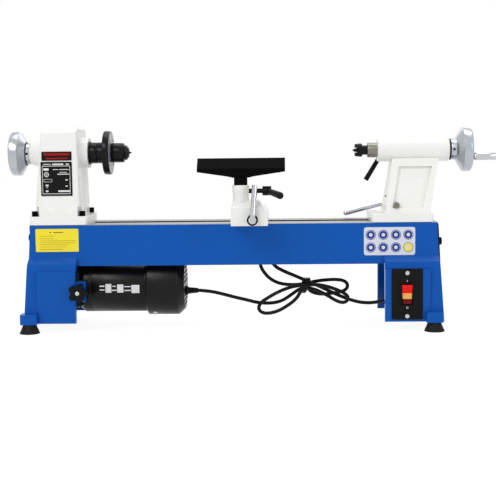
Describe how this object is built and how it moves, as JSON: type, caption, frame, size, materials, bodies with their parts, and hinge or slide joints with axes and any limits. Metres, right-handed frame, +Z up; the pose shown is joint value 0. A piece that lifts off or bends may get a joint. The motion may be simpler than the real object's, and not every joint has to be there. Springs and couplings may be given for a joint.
{
  "type": "wood lathe",
  "caption": "Bench wood lathe: box bed on two legs, belt-driven spindle, sliding tailstock with handwheel, adjustable tool rest, motor under the bed.",
  "frame": {"origin": "on the bench, under the middle of the whole machine's box", "axes": "+X along the bed towards the tailstock, -Y towards the operator, +Z up"},
  "size_m": [0.8647, 0.2429, 0.3635],
  "materials": {
    "blue_enamel": "gloss enamel over fine casting",
    "white_enamel": "gloss enamel over fine casting",
    "black_enamel": "satin enamel",
    "black_oxide": "turned, black oxide",
    "machined_steel": "turned and ground",
    "zinc_steel": "zinc plated",
    "polished_aluminium": "cast, turned and polished",
    "chrome": "polished plating",
    "grey_iron": "machined, oiled",
    "copper_winding": "varnished wire",
    "laminated_steel": "stacked sheets",
    "black_plastic": "fine moulded grain",
    "red_plastic": "gloss, translucent",
    "label_film": "printed film, bare of text",
    "cord_jacket": "extruded jacket",
    "rubber": "moulded",
    "belt_rubber": "ribbed belt"
  },
  "bodies": {
    "frame": {"bed_casting": "blue_enamel", "rubber_feet": "rubber", "foot_screws": "zinc_steel", "belt_cover": "black_enamel", "end_cover": "black_enamel", "cover_knobs": "black_plastic", "headstock_casting": "white_enamel", "headstock_fasteners": "black_oxide", "label_plates": "label_film", "spindle_bearings": "machined_steel", "drive_belt": "belt_rubber", "motor_plate": "black_enamel", "motor_bolts": "zinc_steel", "motor_housing": "black_enamel", "motor_end_bells": "black_enamel", "motor_bearings": "machined_steel", "stator": "copper_winding", "fan_cover": "black_enamel", "cable_glands": "black_plastic", "motor_lead": "cord_jacket", "cord_hank": "cord_jacket", "switch_lead": "cord_jacket", "cord_clip": "black_plastic", "switch_plate": "black_plastic", "switch_housing": "black_plastic", "switch_screws": "zinc_steel"},
    "spindle_line": {"spindle": "machined_steel", "nose_collar": "black_oxide", "faceplate": "black_oxide", "spindle_pulley": "polished_aluminium", "spindle_handwheel": "polished_aluminium", "spindle_wheel_screw": "black_oxide", "live_centre_body": "black_oxide"},
    "cup": {"cup_centre": "machined_steel"},
    "motor_rotor": {"motor_shaft": "machined_steel", "rotor": "laminated_steel", "motor_fan": "black_plastic", "motor_pulley": "polished_aluminium"},
    "door": {"headstock_door": "white_enamel"},
    "belt_lock": {"motor_lock_knob": "black_plastic"},
    "rocker": {"rocker_switch": "red_plastic"},
    "tailstock": {"tailstock_casting": "white_enamel", "tailstock_clamp": "machined_steel", "thrust_ring": "machined_steel"},
    "tail_cam": {"tailstock_cam": "chrome"},
    "tail_wheel": {"tailstock_handwheel": "polished_aluminium", "tailstock_wheel_screw": "black_oxide", "leadscrew": "machined_steel", "crank_bolt": "zinc_steel"},
    "crank": {"crank_handle": "chrome"},
    "quill_line": {"quill": "machined_steel", "spur_centre": "machined_steel"},
    "quill_lock": {"quill_lock_lever": "black_plastic"},
    "banjo_carrier": {"banjo_clamp": "machined_steel"},
    "banjo_pivot": {"banjo_block": "grey_iron"},
    "banjo": {"banjo_casting": "white_enamel"},
    "rest_cam": {"banjo_cam": "chrome"},
    "rest_stem": {"tool_rest_stem": "machined_steel"},
    "rest_blade": {"tool_rest": "black_oxide"},
    "rest_lock": {"rest_lock_lever": "black_plastic"}
  },
  "joints": [
    {"name": "spindle_spin", "type": "hinge", "parent": "frame", "child": "spindle_line", "pos_m": [-0.335, 0.024, 0.313], "axis": [1, 0, 0], "continuous": true},
    {"name": "cup_spin", "type": "hinge", "parent": "spindle_line", "child": "cup", "pos_m": [-0.223, 0.024, 0.313], "axis": [1, 0, 0], "continuous": true},
    {"name": "motor_spin", "type": "hinge", "parent": "frame", "child": "motor_rotor", "pos_m": [-0.245, 0.024, 0.073], "axis": [1, 0, 0], "continuous": true},
    {"name": "door_hinge", "type": "hinge", "parent": "frame", "child": "door", "pos_m": [-0.3735, 0.077, 0.295], "axis": [0, 0, 1], "range_deg": [0, 105]},
    {"name": "belt_lock_turn", "type": "hinge", "parent": "frame", "child": "belt_lock", "pos_m": [-0.304, -0.061, 0.0715], "axis": [0, 1, 0], "range_deg": [-180, 180]},
    {"name": "rocker_tilt", "type": "hinge", "parent": "frame", "child": "rocker", "pos_m": [0.268, -0.05, 0.0645], "axis": [1, 0, 0], "range_deg": [0, 12]},
    {"name": "tailstock_slide", "type": "slide", "parent": "frame", "child": "tailstock", "axis": [1, 0, 0], "range_m": [-0.13, 0.004]},
    {"name": "tail_cam_turn", "type": "hinge", "parent": "tailstock", "child": "tail_cam", "pos_m": [0.2525, 0.024, 0.2167], "axis": [0, 1, 0], "range_deg": [-10, 90]},
    {"name": "tail_wheel_turn", "type": "hinge", "parent": "tailstock", "child": "tail_wheel", "pos_m": [0.365, 0.024, 0.313], "axis": [-1, 0, 0], "range_deg": [-840, 5400]},
    {"name": "crank_spin", "type": "hinge", "parent": "tail_wheel", "child": "crank", "pos_m": [0.41, -0.001, 0.3004], "axis": [1, 0, 0], "continuous": true},
    {"name": "quill_slide", "type": "slide", "parent": "tailstock", "child": "quill_line", "axis": [-1, 0, 0], "range_m": [-0.00701, 0.04501]},
    {"name": "quill_lock_turn", "type": "hinge", "parent": "tailstock", "child": "quill_lock", "pos_m": [0.238, 0.054, 0.313], "axis": [0, 1, 0], "range_deg": [-5, 60]},
    {"name": "banjo_slide", "type": "slide", "parent": "frame", "child": "banjo_carrier", "axis": [1, 0, 0], "range_m": [-0.1, 0.06]},
    {"name": "banjo_swivel", "type": "hinge", "parent": "banjo_carrier", "child": "banjo_pivot", "pos_m": [0.002, 0.024, 0.193], "axis": [0, 0, 1], "range_deg": [-30, 30]},
    {"name": "banjo_reach", "type": "slide", "parent": "banjo_pivot", "child": "banjo", "axis": [0, 1, 0], "range_m": [-0.03, 0.05]},
    {"name": "rest_cam_turn", "type": "hinge", "parent": "banjo", "child": "rest_cam", "pos_m": [0.002, -0.076, 0.199], "axis": [0, 1, 0], "range_deg": [-80, 10]},
    {"name": "rest_height", "type": "slide", "parent": "banjo", "child": "rest_stem", "axis": [0, 0, 1], "range_m": [-0.008, 0.03]},
    {"name": "rest_swivel", "type": "hinge", "parent": "rest_stem", "child": "rest_blade", "pos_m": [-0.018, -0.071, 0.278], "axis": [0, 0, 1], "range_deg": [-45, 45]},
    {"name": "rest_lock_turn", "type": "hinge", "parent": "banjo", "child": "rest_lock", "pos_m": [0.025, -0.071, 0.247], "axis": [1, 0, 0], "range_deg": [-10, 70]}
  ],
  "couplings": [
    {"joint": "motor_spin", "follows": "spindle_spin", "ratio": 1.1429},
    {"joint": "quill_slide", "follows": "tail_wheel_turn", "m_per_rad": 0.00047746}
  ]
}
